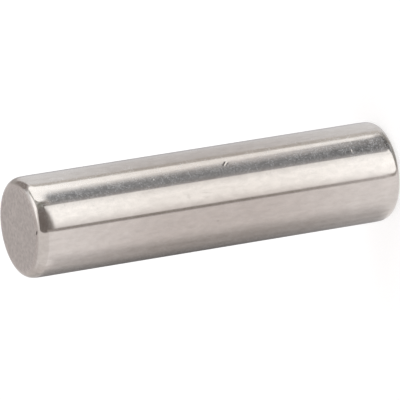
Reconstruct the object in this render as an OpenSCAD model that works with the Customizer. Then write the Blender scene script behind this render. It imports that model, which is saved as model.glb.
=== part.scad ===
// Flat-ended needle roller: one hardened steel pin, ground to size, that rolls in a needle bearing.
// All sizes are in millimetres. The roller stands on one end: its axis is +Z, and the origin is
// the middle of the end that it stands on.

/* [Roller] */
// Diameter of the rolling surface
roller_d = 4; // [2:0.5:6]
// Length over the two flat ends
roller_l = 15.8; // [5.8:1:39.8]

/* [Ends] */
// Radius of the round between the rolling surface and each end
corner_r = 0.4; // [0.1:0.05:0.9]

/* [Hidden] */

// Radius of the rolling surface
roller_r = roller_d / 2;
// Radius of the flat part of each end, inside the corner round
end_flat_r = roller_r - corner_r;
// Heights at which the rolling surface starts and ends
rolling_z0 = corner_r;
rolling_z1 = roller_l - corner_r;
// Segments in each round of the profile
round_fn = 64;

// Half of the roller's section, from the axis out to the rolling surface: a core that reaches both
// flat ends, the wider band that carries the rolling surface, and a round at each corner.
module half_section() {
    square([end_flat_r, roller_l]);
    translate([0, rolling_z0])
        square([roller_r, rolling_z1 - rolling_z0]);
    for (z = [rolling_z0, rolling_z1])
        translate([end_flat_r, z])
            intersection() {
                circle(r = corner_r, $fn = round_fn);
                translate([0, -corner_r])
                    square([corner_r, 2 * corner_r]);
            }
}

module needle_roller() {
    color("silver")
        rotate_extrude($fn = 2 * round_fn)
            half_section();
}

needle_roller();
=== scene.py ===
"""A flat-ended needle roller of bearing steel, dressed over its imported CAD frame.

The roller is one turned, hardened and ground pin. Its rolling surface is superfinished to a mirror
with a faint haze, and its two flat ends are satin. The pin stands on one end on white paper, inside
a small studio of soft boxes that the metal reflects. Azimuths are degrees round its axis: 0 faces
-Y, where the camera is, and -90 faces +X.
"""

import logging
import math
from collections.abc import Iterable
from dataclasses import dataclass
from enum import Enum

import bpy
import numpy as np
from mathutils import Matrix, Vector


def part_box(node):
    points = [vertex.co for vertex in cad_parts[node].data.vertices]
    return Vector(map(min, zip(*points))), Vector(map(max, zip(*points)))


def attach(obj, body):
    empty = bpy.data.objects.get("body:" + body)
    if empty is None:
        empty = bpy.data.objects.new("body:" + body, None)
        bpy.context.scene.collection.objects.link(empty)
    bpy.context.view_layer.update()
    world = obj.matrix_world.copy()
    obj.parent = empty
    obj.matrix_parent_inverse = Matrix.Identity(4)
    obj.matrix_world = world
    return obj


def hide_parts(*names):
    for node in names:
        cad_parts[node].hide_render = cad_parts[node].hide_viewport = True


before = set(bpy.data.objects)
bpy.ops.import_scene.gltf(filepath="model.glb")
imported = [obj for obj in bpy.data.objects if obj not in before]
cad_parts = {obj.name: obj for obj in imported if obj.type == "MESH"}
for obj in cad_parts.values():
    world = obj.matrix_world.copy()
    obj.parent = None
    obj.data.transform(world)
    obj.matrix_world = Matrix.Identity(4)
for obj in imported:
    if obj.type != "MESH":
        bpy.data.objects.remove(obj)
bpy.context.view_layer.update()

LOG = logging.getLogger("needle_roller")
NODE = "needle_roller"
MM = 0.001
MICRON = 0.001 * MM

# A Mix node has its own sockets for each kind of value, under the same names.
SHARE = 0
NUMBER_A, NUMBER_B, MIXED_NUMBER = 2, 3, 0
COLOUR_A, COLOUR_B, MIXED_COLOUR = 6, 7, 2


class Layer(str, Enum):
    """The names of the mesh attributes that the steel's finish reads."""

    SATIN = "satin"
    # Painted shade: the attribute that darkens and warms the side's colour along its middle, standing in
    # for reflected shade.
    PAINTED_SHADE = "painted_shade"
    HAZE = "haze"


def linear(hex_colour: str) -> tuple[float, float, float, float]:
    """Turns an sRGB hex colour into the linear colour that a shader socket takes.

    Formula: the sRGB standard's, a straight line near black and a power curve above it.

    Args:
        hex_colour: a hash and six hex digits.

    Returns:
        Red, green, blue and an alpha of 1, linear.
    """
    parts = [int(hex_colour[i:i + 2], 16) / 255 for i in (1, 3, 5)]
    bent = [p / 12.92 if p <= 0.04045 else ((p + 0.055) / 1.055) ** 2.4 for p in parts]
    return (*bent, 1.0)


def direction(azimuth: float, polar: float) -> np.ndarray:
    """The unit vector of one direction seen from the roller.

    Formula: the sine of the polar angle goes out along the azimuth, and its cosine goes up.

    Args:
        azimuth: azimuth in degrees.
        polar: degrees away from +Z.

    Returns:
        Three numbers in the row frame.
    """
    turn, tilt = math.radians(azimuth), math.radians(polar)
    out = -math.sin(tilt)
    return np.array([out * math.sin(turn), out * math.cos(turn), math.cos(tilt)])


def add_node(
    tree: bpy.types.NodeTree,
    kind: str,
    settings: dict[str, object] | None = None,
    inputs: dict[str | int, object] | None = None,
) -> bpy.types.Node:
    """Adds one node, with its settings, and fills or links its inputs.

    Args:
        tree: the node tree that the node goes into.
        kind: the node's type name in Blender, after ShaderNode.
        settings: attribute names and their values.
        inputs: socket names or numbers, each with a plain value or an output socket to link.

    Returns:
        The new node.
    """
    node = tree.nodes.new("ShaderNode" + kind)
    for name, value in (settings or {}).items():
        setattr(node, name, value)
    for socket, value in (inputs or {}).items():
        if isinstance(value, bpy.types.NodeSocket):
            tree.links.new(value, node.inputs[socket])
        else:
            node.inputs[socket].default_value = value
    return node


# ---- The roller's mesh ----


@dataclass(frozen=True)
class Nick:
    """A small gouge in the steel, with one side raised where the metal was pushed up.

    Args:
        height_mm: height of its middle over the standing end, measured along the corner's curve
            past the rolling surface.
        azimuth_deg: azimuth of its middle.
        length_mm: its length.
        width_mm: its width.
        depth_um: its depth in micrometres.
        lean_deg: how far it leans from the axis towards the way that azimuth grows.
        lip: height of the raised side, as a share of the depth.
        lip_place: distance of the raised side from the nick's middle, in half widths.
    """

    height_mm: float
    azimuth_deg: float
    length_mm: float
    width_mm: float
    depth_um: float
    lean_deg: float = 90.0
    lip: float = 0.3
    lip_place: float = 1.6

    def relief(self, around: np.ndarray, along: np.ndarray) -> np.ndarray:
        """The height that this nick adds to the surface, in metres.

        Formula: with u along the nick and w across it, both in half sizes, a bell exp(-w^2) under a
        flat-topped exp(-u^4) sinks the surface, and a second bell beside it raises one side.

        Args:
            around: distance round the surface from the nick's middle, in metres.
            along: distance up the surface from the nick's middle, in metres.

        Returns:
            One height for each point, negative where the surface is sunk.
        """
        lean = math.radians(self.lean_deg)
        u = (along * math.cos(lean) + around * math.sin(lean)) / (0.5 * self.length_mm * MM)
        w = (around * math.cos(lean) - along * math.sin(lean)) / (0.5 * self.width_mm * MM)
        raised = self.lip * np.exp(-((w - self.lip_place) ** 2))
        return self.depth_um * MICRON * np.exp(-u**4) * (raised - np.exp(-w**2))


@dataclass(frozen=True)
class Strip:
    """A strip along the rolling surface, with soft sides.

    Args:
        azimuth_deg: azimuth of its middle.
        half_width_deg: how far it reaches to each side.
    """

    azimuth_deg: float
    half_width_deg: float

    def share(self, azimuth: np.ndarray) -> np.ndarray:
        """How much of the strip each azimuth has: exp(-w^2), with w in half widths off its middle."""
        return np.exp(-(((azimuth - self.azimuth_deg) / self.half_width_deg) ** 2))


@dataclass(frozen=True)
class ShadeAndHaze:
    """Where shade is painted on the rolling surface, and where it is hazy from handling.

    Args:
        painted_shade_run: how far the painted shade reaches from the middle, in half lengths.
        painted_shade_most: the painted shade at the middle.
        lighter_strip: the strip where less shade is painted.
        lighter_strip_share: how much less is painted there.
        hazy: the strip with the most haze.
        haze_least: the haze away from that strip, where its middle has 1.
        haze_ends: how much more haze there is at both ends.
        clean: the strip with little haze.
        clean_share: how much of it is gone there.
    """

    painted_shade_run: float = 0.68
    painted_shade_most: float = 1.05
    lighter_strip: Strip = Strip(-15.0, 25.0)
    lighter_strip_share: float = 0.4
    hazy: Strip = Strip(-32.0, 26.0)
    haze_least: float = 0.35
    haze_ends: float = 0.5
    clean: Strip = Strip(-5.0, 13.0)
    clean_share: float = 0.6

    def painted_shade(self, azimuth: np.ndarray, height: np.ndarray) -> np.ndarray:
        """How much shade is painted on each point: a bell along the length, less on the lighter strip.

        Formula: exp(-d^3), with d the height over the painted shade's reach, times what the lighter
        strip leaves.

        Args:
            azimuth: of each point, in degrees.
            height: from the middle, in half lengths.

        Returns:
            A share for each point, 1 or a little more where the painted shade is strongest.
        """
        # Painted shade: darker along the middle of the side, standing in for reflected shade.
        left = self.painted_shade_most - self.lighter_strip_share * self.lighter_strip.share(azimuth)
        return np.exp(-((np.abs(height) / self.painted_shade_run) ** 3)) * left

    def haze(self, azimuth: np.ndarray, height: np.ndarray) -> np.ndarray:
        """How hazy each point is: most on one long strip, and more towards both its ends.

        Formula: the least haze and the rest of it times the hazy strip, times 1 + e h^2, with h the
        height and e the gain at the ends, times 1 less what is gone on the clean strip.

        Args:
            azimuth: of each point, in degrees.
            height: from the middle, in half lengths.

        Returns:
            A share for each point.
        """
        strip = self.haze_least + (1 - self.haze_least) * self.hazy.share(azimuth)
        left = 1 - self.clean_share * self.clean.share(azimuth)
        return strip * (1 + self.haze_ends * height**2) * left


def graded_lines(
    low: float,
    high: float,
    step: float,
    fine: float,
    spots: list[tuple[float, float]],
    samples: int = 20001,
) -> np.ndarray:
    """Places grid lines that crowd together round some spots.

    Formula: the density of lines is 1/step, plus a flat-topped bell of 1/fine at each spot. Lines
    stand where the running sum of that density passes equal shares.

    Args:
        low: first line.
        high: last line.
        step: spacing away from the spots.
        fine: spacing at the spots.
        spots: middle and half width of each crowded stretch.
        samples: how many points the running sum is taken at.

    Returns:
        The lines' places, from low to high.
    """
    x = np.linspace(low, high, samples)
    crowd = np.zeros_like(x)
    for middle, reach in spots:
        crowd = np.maximum(crowd, np.exp(-(((x - middle) / reach) ** 4)) / fine)
    passed = np.concatenate([[0.0], np.cumsum((1 / step + crowd)[1:] * np.diff(x))])
    shares = np.linspace(0, passed[-1], int(round(passed[-1])) + 1)
    return np.interp(shares, passed, x)


@dataclass(frozen=True)
class RollerBody:
    """The roller as one closed surface of revolution, with its nicks cut into it.

    Args:
        radius: of the rolling surface, in metres.
        length: over both ends, in metres.
        corner: reach of the round at each end, in metres.
        fullness: power of the corner's superellipse; 2 is a plain quarter circle.
        relief_reach: distance from each end where the side starts to fall away, in metres.
        relief_bend: length of the bend to its full slope, in metres.
        relief_tilt: that slope.
        step_around: the mesh's spacing round the side, in metres.
        step_along: its spacing along the side, in metres.
        step_nick: its spacing at a nick, in metres.
        nick_margin: how far the finer mesh reaches from a nick's middle, in the nick's lengths.
        corner_points: how many points the outline has in each corner.
        flat_rings: how many rings each flat end has, with its pole as one.
        satin_reach: how far the satin of the ends goes over the corner, as a share of its reach.
        shade_and_haze: where shade is painted on the side, and where its haze differs.
        nicks: its nicks.
    """

    radius: float
    length: float
    corner: float
    fullness: float = 2.5
    relief_reach: float = 0.69 * MM
    relief_bend: float = 0.11 * MM
    relief_tilt: float = 0.026
    step_around: float = 0.075 * MM
    step_along: float = 0.16 * MM
    step_nick: float = 0.016 * MM
    nick_margin: float = 0.6
    corner_points: int = 27
    flat_rings: int = 25
    satin_reach: float = 0.55
    shade_and_haze: ShadeAndHaze = ShadeAndHaze()
    nicks: tuple[Nick, ...] = ()

    def corner_curve(self) -> tuple[np.ndarray, np.ndarray]:
        """One corner's curve, from the flat end out to the rolling surface.

        Formula: a superellipse quarter, x = sin(t)^(2/p) and y = 1 - cos(t)^(2/p) for t from 0 to a
        right angle, times the corner's reach. A tumbled corner starts gently like this.

        Returns:
            Distance outwards from the flat's rim, and height over the end, in metres.
        """
        t = np.linspace(0, math.pi / 2, self.corner_points)
        power = 2 / self.fullness
        return self.corner * np.sin(t) ** power, self.corner * (1 - np.cos(t) ** power)

    def profile(self) -> tuple[np.ndarray, np.ndarray]:
        """The outline from the middle of the standing end to the middle of the other end.

        Formula: a straight line out over the flat, the corner's curve, a straight line up the side,
        and the same corner and flat turned over. The side is then drawn in by the end relief.

        Returns:
            Distances from the axis and heights, in metres, with no repeated point.
        """
        flat = self.radius - self.corner
        out, up = self.corner_curve()
        disc = np.linspace(0, flat, self.flat_rings, endpoint=False)
        margin = self.nick_margin
        spots = [(nick.height_mm * MM, margin * nick.length_mm * MM) for nick in self.nicks]
        top = self.length - self.corner
        side = graded_lines(self.corner, top, self.step_along, self.step_nick, spots)
        radii = np.concatenate([
            disc, flat + out, np.full(len(side) - 2, self.radius), flat + out[::-1], disc[::-1],
        ])
        heights = np.concatenate([
            np.zeros(len(disc)), up, side[1:-1], self.length - up[::-1], np.full(len(disc), self.length),
        ])
        return radii * (1 - self.end_relief(heights) / self.radius), heights

    def end_relief(self, heights: np.ndarray) -> np.ndarray:
        """How much thinner the roller is near its ends, so that they don't dig into their track.

        Formula: the drop grows with the square of the distance past the point where it starts, over
        the length of the bend, and goes on from there in a straight line.

        Args:
            heights: heights over the standing end, in metres.

        Returns:
            The drop in radius at each height, in metres.
        """
        middle = self.length / 2
        past = np.clip(np.abs(heights - middle) - middle + self.relief_reach, 0, None)
        bent = np.minimum(past, self.relief_bend)
        return self.relief_tilt * (bent**2 / (2 * self.relief_bend) + past - bent)

    @staticmethod
    def outline_normals(radii: np.ndarray, heights: np.ndarray) -> tuple[np.ndarray, np.ndarray]:
        """The outline's normals: its own direction turned by a right angle.

        Args:
            radii: the outline's distances from the axis.
            heights: its heights.

        Returns:
            How much of the normal points outwards and how much upwards, at each point.
        """
        out_step, up_step = np.gradient(radii), np.gradient(heights)
        size = np.hypot(out_step, up_step)
        return up_step / size, -out_step / size

    def build(self, name: str) -> bpy.types.Object:
        """Makes the mesh object.

        Formula: point (i, j) is the outline's point i turned to azimuth j, moved along the normal by
        the sum of the nicks' reliefs. The two end points of the outline are single pole vertices.

        Args:
            name: the object's name.

        Returns:
            The object, at the origin, with its normals and finish attributes set.
        """
        radii, heights = self.profile()
        rings = slice(1, -1)  # all but the two poles
        half_turn = math.pi * self.radius
        spots = [
            (math.radians(nick.azimuth_deg) * self.radius, self.nick_margin * nick.length_mm * MM)
            for nick in self.nicks
        ]
        around = graded_lines(-half_turn, half_turn, self.step_around, self.step_nick, spots)[:-1]
        along = np.cumsum(np.hypot(np.diff(radii, prepend=0), np.diff(heights, prepend=0)))[rings]
        along += self.length / 2 - np.interp(self.length / 2, heights[rings], along)
        relief = self.relief_of(around, along)
        slope_along = np.gradient(relief, along, axis=0)
        wrapped = np.concatenate([[around[-1] - 2 * half_turn], around, [around[0] + 2 * half_turn]])
        turned = np.concatenate([relief[:, -1:], relief, relief[:, :1]], axis=1)
        slope_around = np.gradient(turned, wrapped, axis=1)[:, 1:-1]

        azimuth = around / self.radius
        outward = np.stack([-np.sin(azimuth), -np.cos(azimuth), np.zeros_like(azimuth)], -1)[None]
        sideways = np.stack([-np.cos(azimuth), np.sin(azimuth), np.zeros_like(azimuth)], -1)[None]
        upward = np.array([0.0, 0.0, 1.0])
        out_share, up_share = (n[rings, None, None] for n in self.outline_normals(radii, heights))
        normal = out_share * outward + up_share * upward
        tangent = -up_share * outward + out_share * upward
        points = radii[rings, None, None] * outward + heights[rings, None, None] * upward
        points = points + relief[..., None] * normal
        normal = normal - slope_along[..., None] * tangent - slope_around[..., None] * sideways
        normal /= np.linalg.norm(normal, axis=-1, keepdims=True)

        poles = np.array([[0, 0, heights[0]], [0, 0, heights[-1]]])
        vertices = np.concatenate([points.reshape(-1, 3), poles])
        normals = np.concatenate([normal.reshape(-1, 3), [[0, 0, -1]], [[0, 0, 1]]])
        return self.to_object(name, vertices, normals, (len(along), len(around)))

    def relief_of(self, around: np.ndarray, along: np.ndarray) -> np.ndarray:
        """Adds up the nicks over the grid, each in the flat chart round its own middle.

        Formula: the sum of the nicks' reliefs, each at the distances round and up from its middle.

        Args:
            around: distances round the rolling surface.
            along: distances of the rings up the outline, equal to the height on the side.

        Returns:
            An array of rings by azimuths, in metres.
        """
        total = np.zeros((len(along), len(around)))
        for nick in self.nicks:
            past_azimuth = around[None] - math.radians(nick.azimuth_deg) * self.radius
            past_height = along[:, None] - nick.height_mm * MM
            total += nick.relief(past_azimuth, past_height)
        return total

    def to_object(
        self, name: str, vertices: np.ndarray, normals: np.ndarray, size: tuple[int, int]
    ) -> bpy.types.Object:
        """Joins a grid of rings and its two poles into a closed mesh.

        Formula: four neighbours in the grid make a face, with the last of a ring beside its first,
        and each pole makes a triangle with every two neighbours in the ring next to it.

        Args:
            name: the object's name.
            vertices: ring after ring, then the lower and the upper pole.
            normals: one for each vertex.
            size: how many rings there are, and how many vertices in each.

        Returns:
            The object, with its finish attributes set.
        """
        rings, turns = size
        grid = np.arange(rings * turns).reshape(rings, turns)
        after = np.roll(grid, -1, axis=1)
        quads = np.stack([grid[:-1], grid[1:], after[1:], after[:-1]], -1).reshape(-1, 4)
        low_pole, high_pole = rings * turns, rings * turns + 1
        low = np.stack([np.full(turns, low_pole), grid[0], after[0]], -1)
        high = np.stack([np.full(turns, high_pole), after[-1], grid[-1]], -1)
        mesh = bpy.data.meshes.new(name)
        mesh.from_pydata(vertices, [], [*quads.tolist(), *low.tolist(), *high.tolist()])
        mesh.polygons.foreach_set("use_smooth", np.ones(len(mesh.polygons), dtype=bool))
        mesh.normals_split_custom_set_from_vertices(normals)
        azimuth = np.degrees(np.arctan2(-vertices[:, 0], -vertices[:, 1]))
        height = vertices[:, 2] / (self.length / 2) - 1
        self.add_layer(mesh, Layer.SATIN, self.satin_share(vertices))
        # Painted shade: darkens and warms the side's colour along its middle, standing in for reflected
        # shade.
        self.add_layer(mesh, Layer.PAINTED_SHADE, self.shade_and_haze.painted_shade(azimuth, height))
        self.add_layer(mesh, Layer.HAZE, self.shade_and_haze.haze(azimuth, height))
        piece = bpy.data.objects.new(name, mesh)
        bpy.context.scene.collection.objects.link(piece)
        return piece

    def satin_share(self, vertices: np.ndarray) -> np.ndarray:
        """How satin each point is: 1 on the flat ends, falling to 0 part of the way up the corner.

        Formula: 1 less the distance past the flat's rim in satin reaches, kept from 0 to 1.

        Args:
            vertices: the points.

        Returns:
            A share for each point.
        """
        past_rim = np.hypot(vertices[:, 0], vertices[:, 1]) - (self.radius - self.corner)
        return 1 - np.clip(past_rim / (self.satin_reach * self.corner), 0, 1)

    @staticmethod
    def add_layer(mesh: bpy.types.Mesh, layer: Layer, values: np.ndarray) -> None:
        """Stores one number for each vertex under the layer's name."""
        attribute = mesh.attributes.new(layer.value, "FLOAT", "POINT")
        attribute.data.foreach_set("value", values.astype(np.float32))


# ---- The finish ----


@dataclass(frozen=True)
class Surface:
    """What the patterns of the steel are worked out from.

    Args:
        tree: the material's node tree.
        place: each point's Object coordinates.
        satin: how satin each point is, from 0 on the side to 1 on the flats.
    """

    tree: bpy.types.NodeTree
    place: bpy.types.NodeSocket
    satin: bpy.types.NodeSocket


@dataclass(frozen=True)
class Pattern:
    """A random pattern in the steel, such as clouds, specks or hair-fine lines.

    Args:
        across_mm: width of its blotches across the axis.
        along_mm: their length along the axis.
        detail: how many finer layers lie over them.
        finer: strength of each finer layer beside the one before.
        turn: how the pattern is turned about X, Y and Z, in radians.
    """

    across_mm: float
    along_mm: float
    detail: float
    finer: float = 0.55
    turn: tuple[float, float, float] = (0.0, 0.0, 0.0)

    def on(self, surface: Surface) -> bpy.types.NodeSocket:
        """Lays the pattern out on the steel.

        Args:
            surface: the steel it is on.

        Returns:
            A socket with a value round 0.5 at each point.
        """
        across, along = 1 / (self.across_mm * MM), 1 / (self.along_mm * MM)
        placed = add_node(surface.tree, "Mapping", inputs={
            "Vector": surface.place, "Rotation": self.turn, "Scale": (across, across, along),
        }).outputs["Vector"]
        return add_node(surface.tree, "TexNoise", inputs={
            "Vector": placed, "Scale": 1.0, "Detail": self.detail, "Roughness": self.finer,
        }).outputs["Fac"]


@dataclass(frozen=True)
class Variation:
    """How a pattern changes one property of the steel.

    Args:
        pattern: the pattern.
        low: the pattern's value where the property is least.
        high: the pattern's value where it is most.
        least: the least of the property.
        most: the most of it.
    """

    pattern: Pattern
    low: float
    high: float
    least: float
    most: float

    def on(self, surface: Surface) -> bpy.types.NodeSocket:
        """Lays the variation out on the steel.

        Args:
            surface: the steel it is on.

        Returns:
            A socket with the property at each point.
        """
        return add_node(surface.tree, "MapRange", inputs={
            "Value": self.pattern.on(surface), "From Min": self.low, "From Max": self.high,
            "To Min": self.least, "To Max": self.most,
        }).outputs["Result"]


@dataclass(frozen=True)
class Stain:
    """A small dark mark on the steel: a speck of dirt or the trace of a rub.

    Args:
        height_mm: height of its middle over the standing end.
        radius_mm: distance of its middle from the axis.
        azimuth_deg: azimuth of its middle.
        tilt_deg: angle between the surface there and the flat end: 90 on the rolling surface.
        length_mm: its length.
        width_mm: its width.
        lean_deg: how far it leans from the axis towards the way that azimuth grows.
        strength: how much it darkens the steel at its middle, from 0 to 1.
        core: how much of its size is at that full strength.
    """

    height_mm: float
    radius_mm: float
    azimuth_deg: float
    tilt_deg: float
    length_mm: float
    width_mm: float
    lean_deg: float
    strength: float
    core: float = 0.3

    def share(self, surface: Surface) -> bpy.types.NodeSocket:
        """How dark the mark makes each point.

        Formula: the point is measured from the mark's middle in the mark's own half sizes, along it,
        across it and through the surface, and the mark fades with that distance out to 1.

        Args:
            surface: the steel it is on.

        Returns:
            A socket that is the strength in the middle of the mark and 0 outside it.
        """
        turn, tilt, lean = map(math.radians, (self.azimuth_deg, self.tilt_deg, self.lean_deg))
        outward = Vector((-math.sin(turn), -math.cos(turn), 0))
        around = Vector((-math.cos(turn), math.sin(turn), 0))
        upward = Vector((0, 0, 1))
        normal = math.sin(tilt) * outward + math.cos(tilt) * upward
        along = -math.cos(tilt) * outward + math.sin(tilt) * upward
        length_way = math.cos(lean) * along + math.sin(lean) * around
        axes = Matrix((length_way, normal.cross(length_way), normal)).transposed()
        sizes = Vector((self.length_mm, self.width_mm, self.length_mm + self.width_mm))
        measured = add_node(surface.tree, "Mapping", {"vector_type": "TEXTURE"}, {
            "Vector": surface.place,
            "Location": (outward * self.radius_mm + upward * self.height_mm) * MM,
            "Rotation": axes.to_euler("XYZ"),
            "Scale": sizes * MM / 2,
        }).outputs["Vector"]
        off = add_node(surface.tree, "VectorMath", {"operation": "LENGTH"}, {0: measured})
        return add_node(surface.tree, "MapRange", {"interpolation_type": "SMOOTHSTEP"}, {
            "Value": off.outputs["Value"], "From Min": self.core, "From Max": 1.0,
            "To Min": self.strength, "To Max": 0.0,
        }).outputs["Result"]


CLOUD = Pattern(0.30, 0.30, 3.0)
STREAK = Pattern(0.17, 0.42, 4.0, finer=0.5, turn=(0.2, -0.2, 0.0))


@dataclass(frozen=True)
class BearingSteel:
    """Through-hardened chrome bearing steel: superfinished round its side, tumbled satin on its ends.

    To the eye it is a warm grey mirror with a light haze of tiny pits, crossed by hair-fine lines
    that run round the pin and faint streaks that run along it, and two flat ends of even grey. Real
    grinding lines are finer still: these are as wide as they have to be to show.

    Args:
        name: the material's name.
        bright: the bare steel of the side.
        painted_shade: the side's colour where shade is painted along its middle, darker and warmer.
        satin: the steel of the flat ends.
        dirt: a stain at full strength.
        painted_shade_patches: how unevenly the shade is painted.
        streaks: light and dark on the side, along the axis.
        mottle: light and dark on the flat ends.
        polish: roughness of the side.
        tumbled: roughness of the flat ends.
        clouds: weight of the haze in clouds.
        specks: weight of the haze in specks.
        haze_roughness: how much the haze scatters.
        haze_index: how much light it catches.
        lines: the grinding lines, which are short along the axis and long round it.
        line_height_um: their height in micrometres.
        grain: the grain of the flat ends.
        grain_height_um: its height in micrometres.
        stains: its small dark marks.
    """

    name: str = "bearing_steel"
    bright: str = "#CBC5BF"
    # Painted shade: a darker, warmer colour that stands in for reflected shade along the middle of the
    # side.
    painted_shade: str = "#B6AEA7"
    satin: str = "#C2BDB8"
    dirt: str = "#3A3430"
    painted_shade_patches: Variation = Variation(Pattern(1.1, 1.1, 2.0), 0.3, 0.7, least=0.9, most=1.08)
    streaks: Variation = Variation(STREAK, 0.3, 0.7, least=0.945, most=1.055)
    mottle: Variation = Variation(Pattern(0.16, 0.16, 4.0), 0.3, 0.7, least=0.84, most=1.16)
    polish: Variation = Variation(CLOUD, 0.35, 0.75, least=0.075, most=0.105)
    tumbled: Variation = Variation(CLOUD, 0.3, 0.7, least=0.30, most=0.39)
    clouds: Variation = Variation(CLOUD, 0.40, 0.66, least=0.0, most=0.40)
    specks: Variation = Variation(Pattern(0.08, 0.08, 1.0), 0.46, 0.66, least=0.0, most=0.85)
    haze_roughness: float = 0.5
    haze_index: float = 2.3
    lines: Pattern = Pattern(2.5, 0.05, 2.0, finer=0.5)
    line_height_um: float = 0.12
    grain: Pattern = Pattern(0.09, 0.09, 2.0)
    grain_height_um: float = 1.2
    stains: tuple[Stain, ...] = (
        # A dark mark on the near end's corner, where a small nick shows dark.
        Stain(15.78, 1.728, 9.2, 45.0, 0.28, 0.10, 72.0, 0.85),
        Stain(15.80, 0.546, -152.0, 0.0, 0.10, 0.07, 0.0, 0.35),
        Stain(8.13, 2.0, 28.0, 90.0, 0.10, 0.09, 0.0, 0.22),
        Stain(8.49, 2.0, -6.5, 90.0, 0.60, 0.05, 170.8, 0.09),
        Stain(9.30, 2.0, -4.8, 90.0, 0.34, 0.20, 100.0, 0.09),
        Stain(8.55, 2.0, -1.6, 90.0, 0.44, 0.16, 170.8, 0.08),
    )

    def build(self) -> bpy.types.Material:
        """Makes the material.

        Returns:
            A material whose patterns follow the roller's own coordinates and attributes.
        """
        material = bpy.data.materials.new(self.name)
        material.use_nodes = True
        tree = material.node_tree
        tree.nodes.clear()
        place = add_node(tree, "TexCoord").outputs["Object"]
        satin = add_node(tree, "Attribute", {"attribute_name": Layer.SATIN.value})
        surface = Surface(tree, place, satin.outputs["Fac"])
        shader = add_node(tree, "BsdfPrincipled", inputs={
            "Metallic": 1.0,
            "Coat Weight": self.haze(surface),
            "Coat Roughness": self.haze_roughness,
            "Coat IOR": self.haze_index,
            "Base Color": self.colour(surface),
            "Roughness": self.roughness(surface),
            "Normal": self.texture(surface),
        })
        add_node(tree, "OutputMaterial", inputs={"Surface": shader.outputs["BSDF"]})
        return material

    def colour(self, surface: Surface) -> bpy.types.NodeSocket:
        """Colour: bright at the ends of the side, with painted shade between them, grey on the flats.

        Streaks on the side and mottle on the flats lighten and darken it, and the stains cover it.

        Args:
            surface: the steel it is on.

        Returns:
            A socket with the colour.
        """
        tree = surface.tree
        # Painted shade: the side is darkened and warmed along its middle, standing in for reflected
        # shade.
        painted_shade = add_node(tree, "Attribute", {"attribute_name": Layer.PAINTED_SHADE.value})
        shade_share = add_node(tree, "Math", {"operation": "MULTIPLY", "use_clamp": True}, {
            0: painted_shade.outputs["Fac"], 1: self.painted_shade_patches.on(surface),
        }).outputs[0]
        side = add_node(tree, "Mix", {"data_type": "RGBA"}, {
            SHARE: shade_share, COLOUR_A: linear(self.bright), COLOUR_B: linear(self.painted_shade),
        }).outputs[MIXED_COLOUR]
        plain = add_node(tree, "Mix", {"data_type": "RGBA"}, {
            SHARE: surface.satin, COLOUR_A: side, COLOUR_B: linear(self.satin),
        }).outputs[MIXED_COLOUR]
        shade = add_node(tree, "Mix", {"data_type": "FLOAT"}, {
            SHARE: surface.satin,
            NUMBER_A: self.streaks.on(surface),
            NUMBER_B: self.mottle.on(surface),
        }).outputs[MIXED_NUMBER]
        shaded = add_node(tree, "VectorMath", {"operation": "SCALE"}, {
            0: plain, "Scale": shade,
        }).outputs["Vector"]
        stained = self.stains[0].share(surface)
        for stain in self.stains[1:]:
            stained = add_node(tree, "Math", {"operation": "MAXIMUM"}, {
                0: stained, 1: stain.share(surface),
            }).outputs[0]
        return add_node(tree, "Mix", {"data_type": "RGBA"}, {
            SHARE: stained, COLOUR_A: shaded, COLOUR_B: linear(self.dirt),
        }).outputs[MIXED_COLOUR]

    def roughness(self, surface: Surface) -> bpy.types.NodeSocket:
        """Roughness: a polish on the side, and a satin on the flats.

        Args:
            surface: the steel it is on.

        Returns:
            A socket with the roughness.
        """
        return add_node(surface.tree, "Mix", {"data_type": "FLOAT"}, {
            SHARE: surface.satin,
            NUMBER_A: self.polish.on(surface),
            NUMBER_B: self.tumbled.on(surface),
        }).outputs[MIXED_NUMBER]

    def haze(self, surface: Surface) -> bpy.types.NodeSocket:
        """Weight of a rough clear layer, which lifts dark reflections and leaves bright ones alone.

        It lies in clouds and specks, follows the roller's own haze attribute and spares the flats.

        Args:
            surface: the steel it is on.

        Returns:
            A socket with the weight.
        """
        tree = surface.tree
        share = add_node(tree, "Attribute", {"attribute_name": Layer.HAZE.value})
        spread = add_node(tree, "Math", {"operation": "ADD"}, {
            0: self.clouds.on(surface), 1: self.specks.on(surface),
        }).outputs[0]
        side = add_node(tree, "Math", {"operation": "MULTIPLY"}, {
            0: spread, 1: share.outputs["Fac"],
        }).outputs[0]
        return add_node(tree, "Mix", {"data_type": "FLOAT"}, {
            SHARE: surface.satin, NUMBER_A: side, NUMBER_B: 0.0,
        }).outputs[MIXED_NUMBER]

    def texture(self, surface: Surface) -> bpy.types.NodeSocket:
        """Bump: hair-fine grinding lines round the side, and an even grain on the flats.

        Args:
            surface: the steel it is on.

        Returns:
            A socket with the bent normal.
        """
        tree = surface.tree
        ground = add_node(tree, "Bump", inputs={
            "Height": self.lines.on(surface), "Distance": self.line_height_um * MICRON,
        }).outputs["Normal"]
        grain = add_node(tree, "Math", {"operation": "MULTIPLY"}, {
            0: self.grain.on(surface), 1: surface.satin,
        }).outputs[0]
        return add_node(tree, "Bump", inputs={
            "Height": grain, "Distance": self.grain_height_um * MICRON, "Normal": ground,
        }).outputs["Normal"]


# ---- The studio ----


@dataclass(frozen=True)
class Panel:
    """One soft box, gap or wall of the studio: a straight-sided patch of sky as the roller sees it.

    Args:
        name: what it is.
        corners: its corners as (azimuth, polar) degrees, in order round it.
        light: its red, green and blue strength, where 1 is paper white.
        soft: half width of its blurred edge, in degrees, or one for each side after each corner.
    """

    name: str
    corners: tuple[tuple[float, float], ...]
    light: tuple[float, float, float]
    soft: float | tuple[float, ...] = 0.6


def level(polar: float, azimuths: Iterable[float]) -> tuple[tuple[float, float], ...]:
    """A row of corners at one height, because one long straight side would dip between its ends.

    Args:
        polar: degrees away from +Z.
        azimuths: where the corners are, in degrees.

    Returns:
        The corners.
    """
    return tuple((azimuth, polar) for azimuth in azimuths)


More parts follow.
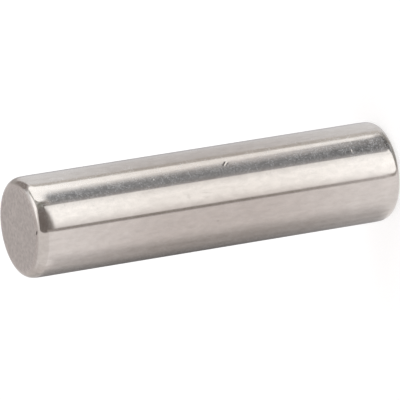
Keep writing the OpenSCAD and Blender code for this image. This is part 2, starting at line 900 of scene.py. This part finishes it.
# Azimuths of the corners along the gap.
GAP = (-41, -48, -56, -64, -72, -79)
STUDIO = (
    Panel("pale table", (*level(107.5, range(10, 155, 12)), (154, 176), (10, 176)),
        (1.06, 1.03, 1.045), (3,) * 12 + (6, 5, 6)),
    Panel("wall above", ((-104, 30), (-179, 30), (-179, 170), (-104, 170)), (0.93, 0.935, 0.96), 6),
    Panel("back of the wall above", ((-150, 30), (-215, 30), (-215, 170), (-150, 170)),
        (0.81, 0.81, 0.83), 26),
    Panel("back wall", ((140, 92), (220, 92), (220, 6), (140, 6)), (0.71, 0.665, 0.665), 12),
    Panel("wall behind the table", ((108, 62), (162, 62), (165, 112), (108, 112)),
        (0.72, 0.68, 0.67), 13),
    Panel("shade behind the table", ((128, 84), (158, 84), (158, 112), (128, 112)),
        (0.58, 0.56, 0.55), 8),
    Panel("shade by the table",
        ((90, 112.5), (105, 112.7), (120, 112.9), (135, 112.9), (150, 112.6), (150, 165), (90, 165)),
        (0.49, 0.47, 0.47), (2.5,) * 4 + (16, 5, 22)),
    Panel("shade of the table",
        ((135, 112.4), (150, 111.7), (165, 110.8), (180, 110.6), (194, 110.6), (194, 165), (135, 165)),
        (0.15, 0.145, 0.145), (4,) * 4 + (16, 5, 30)),
    Panel("paper beyond the table", (*level(116.2, (*range(60, 181, 20), 192)), (192, 178), (60, 178)),
        (1.0, 0.98, 0.99), (2.6,) * 7 + (5,) * 3),
    Panel("shade on the wall above", ((-140, 54), (-162, 60), (-166, 108), (-150, 108)),
        (0.5, 0.48, 0.47), 5),
    Panel("wall gap", ((-102, 88), (-103, 56), (-122, 46), (-146, 51), (-153.5, 68), (-143, 79)),
        (0.33, 0.295, 0.285), 5),
    Panel("rail", ((-98, 44), (-44, 44), (-44, 112), (-64, 112), (-98, 72)), (0.55, 0.55, 0.52), 2),
    Panel("overhead box", ((-100, 47), (-98, 10), (0, 5), (-48, 46), (-62, 49), (-82, 49)),
        (1.62, 1.62, 1.64), (9, 8, 3, 4, 4, 4)),
    Panel("gap by the side box", ((-105.5, 98), (-96, 98), (-93, 119), (-105.5, 119)),
        (0.755, 0.735, 0.71), (9, 2.2, 1.5, 2.2)),
    Panel("shade beneath",
        ((-50, 122), (-97, 119), (-118, 135), (-148, 158), (170, 170), (40, 172), (5, 164),
         (-20, 154)),
        (0.41, 0.4, 0.38), (1.5, 5) + (8,) * 6),
    Panel("foot of the gap", ((-88, 115.6), (-41, 112), (-44, 143), (-62, 147), (-85, 134)),
        (0.25, 0.25, 0.245), 4),
    Panel("side box",
        ((-99, 67), (-66, 59), (-55, 79), (-50.5, 96), (-49, 105.9), (-79.6, 115.1), (-85, 115.8),
         (-89.2, 116.3), (-93.2, 115.3), (-96.6, 112.5)),
        (1.6, 1.62, 1.64), (0.7,) * 5 + (0.6, 0.5, 0.5, 1.2, 1.2)),
    Panel("side box, lower", ((-79, 104), (-50, 104), (-50, 115.6), (-79, 115.5)),
        (1.6, 1.62, 1.64), 0.7),
    Panel("lit side of the gap",
        ((-41, 111.2), (-52, 111.4), (-60, 111.6), (-67, 112.0), (-70.6, 112.6), (-73.6, 113.3),
         (-76.8, 114.2), (-79.6, 115.4), (-79.8, 149), (-41, 150)),
        (0.46, 0.47, 0.495), (1.5, 1.5, 1.6, 2.0, 2.6, 3.0, 3.0, 2.4, 0.9, 0.9)),
    Panel("lit patch in the gap", (*level(114.75, (-60, -68, -75, -81.5)), (-81.5, 117), (-60, 117)),
        (1.4, 1.4, 1.44), (0.3, 0.3, 0.3, 2.0, 0.5, 7)),
    Panel("front gap",
        ((-41, 111.4), (-52, 111.6), (-60, 111.8), (-65, 112.5), (-67, 114.5), (-67, 149), (-41, 150)),
        (0.405, 0.43, 0.465), (1.5, 1.5, 1.6, 6, 8, 0.9, 0.9)),
    Panel("shade in the gap, far", (*level(115.25, GAP), (-82.5, 115.4), (-82.5, 134), (-41, 138)),
        (0.03, 0.03, 0.035), (0.2,) * 6 + (1.6, 7, 0.9)),
    Panel("glint under the far shade", (*level(115.9, GAP), (-82.5, 116.0), (-82.5, 134), (-41, 138)),
        (0.32, 0.325, 0.34), (0.3,) * 6 + (1.6, 7, 0.9)),
    Panel("foot of the far shade", (*level(118.6, GAP), (-82.5, 118.7), (-82.5, 132), (-41, 138)),
        (0.18, 0.18, 0.18), (0.6,) * 6 + (1.6, 7, 0.9)),
    Panel("room in front", ((-53.5, 112), (-49.5, 84), (-45, 57), (20, 22), (17.8, 113.5)),
        (0.225, 0.2, 0.19), (3, 4, 2.5, 1.3, 1.2)),
    Panel("side of the room", ((-52.5, 108), (-48, 78), (-43, 55), (-38, 52), (-38, 109)),
        (0.33, 0.33, 0.3), 4),
    Panel("glow by the front box", ((-38, 112.3), (-47, 112.3), (-47, 150), (-38, 150)),
        (0.53, 0.53, 0.55), (0.3, 6, 2, 2)),
    Panel("light at the end of the gap", ((-42, 111.0), (-56, 111.0), (-56, 112.5), (-42, 112.5)),
        (0.62, 0.6, 0.58), (0.6, 3, 0.2, 1.5)),
    Panel("shade in the gap, near",
        ((-45, 112.7), (-54, 112.75), (-60, 112.8), (-63, 112.9), (-63, 113.25), (-45, 113.25)),
        (0.17, 0.185, 0.21), (0.25, 0.25, 0.25, 3, 0.35, 1.6)),
    Panel("margin of the front box",
        ((-40, 109.8), (-30, 110.7), (-20, 111.15), (-10, 111.5), (0, 111.8), (10, 112.2),
         (17.5, 112.6), (17.5, 146), (5, 156), (-12, 154), (-32, 147), (-42, 136), (-41, 124)),
        (1.02, 0.99, 1.0), (0.5,) * 3 + (0.4,) * 4 + (2, 6, 8, 8, 6, 1.3)),
    Panel("front box",
        ((-40, 109.8), (-30, 110.7), (-20, 111.15), (-10, 111.5), (2.5, 111.85), (10.0, 115.7),
         (9.6, 146), (5, 156), (-12, 154), (-32, 147), (-42, 136), (-41, 124)),
        (1.66, 1.68, 1.7), (0.5, 0.5, 0.5, 0.4, 8, 4, 3, 6, 8, 8, 6, 1.3)),
    Panel("dim edge of the front box", ((-40, 109.8), (-32, 110.5), (-32, 146), (-42, 136), (-41, 124)),
        (1.36, 1.37, 1.39), (0.6, 8, 4, 2, 1.3)),
    Panel("low corner of the front box", ((-46, 121), (-36, 118), (-36, 140), (-42, 138), (-47, 129)),
        (1.5, 1.51, 1.53), 2.5),
    Panel("edge of the table", ((12.7, 100), (15.7, 100), (20.0, 115.9), (14.4, 115.9), (12.6, 114.0)),
        (0.4, 0.37, 0.355), (0.6, 1.4, 1.3, 0.6, 0.6)),
    Panel("leg of the table", ((11.8, 117.5), (18.2, 117.5), (22, 160), (6, 160)),
        (0.48, 0.45, 0.43), (2, 1.5, 6, 1.5)),
)


@dataclass(frozen=True)
class Studio:
    """The light all round the roller: white paper, pale walls and soft boxes, with darker gaps.

    Args:
        panels: its boxes, gaps and walls, each over the ones before it.
        base: red, green and blue strength of what is left between them.
    """

    panels: tuple[Panel, ...] = STUDIO
    base: tuple[float, float, float] = (0.9, 0.87, 0.87)

    def build(self) -> bpy.types.World:
        """Makes the world and sets it in the scene.

        Rays that leave the metal or the paper meet the panels. The camera sees plain white behind
        the roller.

        Returns:
            The world.
        """
        world = bpy.data.worlds.new("studio")
        bpy.context.scene.world = world
        world.use_nodes = True
        # The steel is almost a mirror, so its own rays find the boxes better than a map of them.
        world.cycles.sampling_method = "NONE"
        tree = world.node_tree
        tree.nodes.clear()
        way = add_node(tree, "TexCoord").outputs["Generated"]
        light: bpy.types.NodeSocket | tuple[float, ...] = (*self.base, 1.0)
        for panel in self.panels:
            light = add_node(tree, "Mix", {"data_type": "RGBA", "label": panel.name}, {
                SHARE: self.mask(tree, way, panel), COLOUR_A: light, COLOUR_B: (*panel.light, 1.0),
            }).outputs[MIXED_COLOUR]
        path = add_node(tree, "LightPath")
        direct = add_node(tree, "Math", {"operation": "MAXIMUM"}, {
            0: path.outputs["Is Camera Ray"], 1: path.outputs["Is Transmission Ray"],
        }).outputs[0]
        seen = add_node(tree, "Mix", {"data_type": "RGBA"}, {
            SHARE: direct, COLOUR_A: light, COLOUR_B: (1, 1, 1, 1),
        }).outputs[MIXED_COLOUR]
        glow = add_node(tree, "Background", inputs={"Color": seen, "Strength": 1.0})
        add_node(tree, "OutputWorld", inputs={"Surface": glow.outputs[0]})
        LOG.info("studio: %d panels", len(self.panels))
        return world

    @staticmethod
    def mask(
        tree: bpy.types.NodeTree, way: bpy.types.NodeSocket, panel: Panel
    ) -> bpy.types.NodeSocket:
        """The share of one panel that each direction meets.

        Formula: each side of the panel is a plane through the roller, and the mask is the least, over
        the sides, of a smooth step of the sine of the angle to that plane.

        Args:
            tree: the world's node tree.
            way: the direction of the ray.
            panel: the panel.

        Returns:
            A socket that is 1 inside the panel and 0 outside.
        """
        corners = np.array([direction(*corner) for corner in panel.corners])
        planes = np.cross(corners, np.roll(corners, -1, axis=0))
        planes /= np.linalg.norm(planes, axis=1, keepdims=True)
        if (planes @ corners.mean(axis=0)).sum() < 0:
            planes = -planes
        edges = np.sin(np.radians(np.broadcast_to(panel.soft, len(planes)))).tolist()
        share: bpy.types.NodeSocket | float = 1.0
        for plane, edge in zip(planes, edges):
            past = add_node(tree, "VectorMath", {"operation": "DOT_PRODUCT"}, {
                0: way, 1: tuple(plane),
            }).outputs["Value"]
            step = add_node(tree, "MapRange", {"interpolation_type": "SMOOTHSTEP"}, {
                "Value": past, "From Min": -edge, "From Max": edge,
            }).outputs["Result"]
            least = add_node(tree, "Math", {"operation": "MINIMUM"}, {0: share, 1: step})
            share = least.outputs[0]
        return share


@dataclass(frozen=True)
class PaperFloor:
    """A sheet of white paper under the roller, which takes its soft shadow.

    It isn't seen in the metal, which shows the studio's panels all the way down.

    Args:
        half_width: half of its side, in metres.
        paper: its colour.
        glow: how much it is lifted where the camera sees it, so that lit paper is white.
    """

    half_width: float = 0.4
    paper: str = "#C8C8C8"
    glow: float = 0.62

    def build(self) -> bpy.types.Object:
        """Makes the floor.

        Returns:
            The floor.
        """
        half = self.half_width
        mesh = bpy.data.meshes.new("paper_floor")
        corners = [(-half, -half, 0), (half, -half, 0), (half, half, 0), (-half, half, 0)]
        mesh.from_pydata(corners, [], [range(len(corners))])
        mesh.materials.append(self.material())
        floor = bpy.data.objects.new("paper_floor", mesh)
        bpy.context.scene.collection.objects.link(floor)
        floor.visible_glossy = False
        floor.visible_diffuse = False
        LOG.info("stage: %s", floor.name)
        return floor

    def material(self) -> bpy.types.Material:
        """White paper, to the eye an even matt white: a pale diffuse sheet lifted for the camera.

        Returns:
            The material.
        """
        material = bpy.data.materials.new("white_paper")
        material.use_nodes = True
        tree = material.node_tree
        tree.nodes.clear()
        sheet = add_node(tree, "BsdfDiffuse", inputs={"Color": linear(self.paper)})
        path = add_node(tree, "LightPath")
        seen = add_node(tree, "Math", {"operation": "MULTIPLY"}, {
            0: path.outputs["Is Camera Ray"], 1: self.glow,
        }).outputs[0]
        lift = add_node(tree, "Emission", inputs={"Color": (1, 1, 1, 1), "Strength": seen})
        both = add_node(tree, "AddShader", inputs={0: sheet.outputs[0], 1: lift.outputs[0]})
        add_node(tree, "OutputMaterial", inputs={"Surface": both.outputs[0]})
        return material


@dataclass(frozen=True)
class CloseUpCamera:
    """A long lens close to the roller, rolled so that the standing pin lies across the picture.

    Args:
        target: the middle of the roller.
        diameter: of the roller, in metres, the unit of the next two sizes.
        elevation_deg: height of the camera over the horizon.
        roll_deg: tilt of the pin's axis from the picture's horizontal.
        distance: from the target, in roller diameters.
        diameter_px: width in pixels of one diameter at the target.
        target_px: where the target falls in the picture.
        picture_px: width and height of the picture.
        clip: nearest and farthest distance that it sees, in metres.
    """

    target: Vector
    diameter: float
    elevation_deg: float = 24.25
    roll_deg: float = 9.184
    distance: float = 71.93
    diameter_px: float = 101.69
    target_px: tuple[float, float] = (201.12, 199.16)
    picture_px: int = 400
    clip: tuple[float, float] = (0.001, 10.0)

    def build(self) -> bpy.types.Object:
        """Makes the camera and sets it as the scene's own.

        Formula: the camera looks along its own lifted line at the target, turned about that line by
        the roll, and is then moved in its own plane to put the target at its place in the picture.

        Returns:
            The camera.
        """
        lift, roll = math.radians(self.elevation_deg), math.radians(self.roll_deg)
        back = Vector((0, -math.cos(lift), math.sin(lift)))
        along_pin = Vector((0, math.sin(lift), math.cos(lift)))
        across_pin = Vector((1, 0, 0))
        up = math.cos(roll) * across_pin - math.sin(roll) * along_pin
        right = -math.sin(roll) * across_pin - math.cos(roll) * along_pin
        pixel = self.diameter / self.diameter_px
        half_px = self.picture_px / 2
        shift = pixel * ((half_px - self.target_px[0]) * right + (self.target_px[1] - half_px) * up)
        place = self.target + back * self.distance * self.diameter + shift
        half_view = half_px / (self.diameter_px * self.distance)

        camera_data = bpy.data.cameras.new("close_up")
        camera_data.lens = camera_data.sensor_width / 2 / half_view
        camera_data.clip_start, camera_data.clip_end = self.clip
        camera = bpy.data.objects.new("close_up", camera_data)
        bpy.context.scene.collection.objects.link(camera)
        turn = Matrix((right, up, back)).transposed().to_4x4()
        camera.matrix_world = Matrix.Translation(place) @ turn
        bpy.context.scene.camera = camera
        return camera


# ---- The part ----


@dataclass(frozen=True)
class NeedleRoller:
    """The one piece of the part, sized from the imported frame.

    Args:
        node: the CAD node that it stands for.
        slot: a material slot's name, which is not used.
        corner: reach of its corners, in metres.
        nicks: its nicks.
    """

    node: str = NODE
    slot: str = "bearing_steel"
    corner: float = 0.45 * MM
    nicks: tuple[Nick, ...] = (
        Nick(7.36, -37.9, 0.20, 0.060, 7.0, 45.0, 0.25),
        Nick(1.96, -27.8, 0.14, 0.055, 4.0),
        Nick(10.56, -32.0, 0.06, 0.050, 1.0),
        Nick(12.81, 35.0, 0.15, 0.055, 4.5, 80.0),
    )

    def build(self) -> bpy.types.Object:
        """Builds the dressed roller over its CAD node.

        Returns:
            The roller.
        """
        low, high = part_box(self.node)
        radius = min(high[0] - low[0], high[1] - low[1]) / 2
        body = RollerBody(radius, high[2] - low[2], self.corner, nicks=self.nicks)
        piece = body.build("ground_roller")
        piece.data.materials.append(BearingSteel().build())
        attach(piece, "root")
        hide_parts(self.node)
        mesh = piece.data
        LOG.info("%s: %d vertices, %d faces", piece.name, len(mesh.vertices), len(mesh.polygons))
        return piece


def main() -> None:
    """Builds the roller, its studio and its camera."""
    logging.basicConfig(level=logging.INFO)
    low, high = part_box(NODE)
    NeedleRoller().build()
    Studio().build()
    PaperFloor().build()
    CloseUpCamera(target=(Vector(low) + Vector(high)) / 2, diameter=high[0] - low[0]).build()
    bpy.context.scene.view_settings.view_transform = "Standard"


if __name__ == "__main__":
    main()
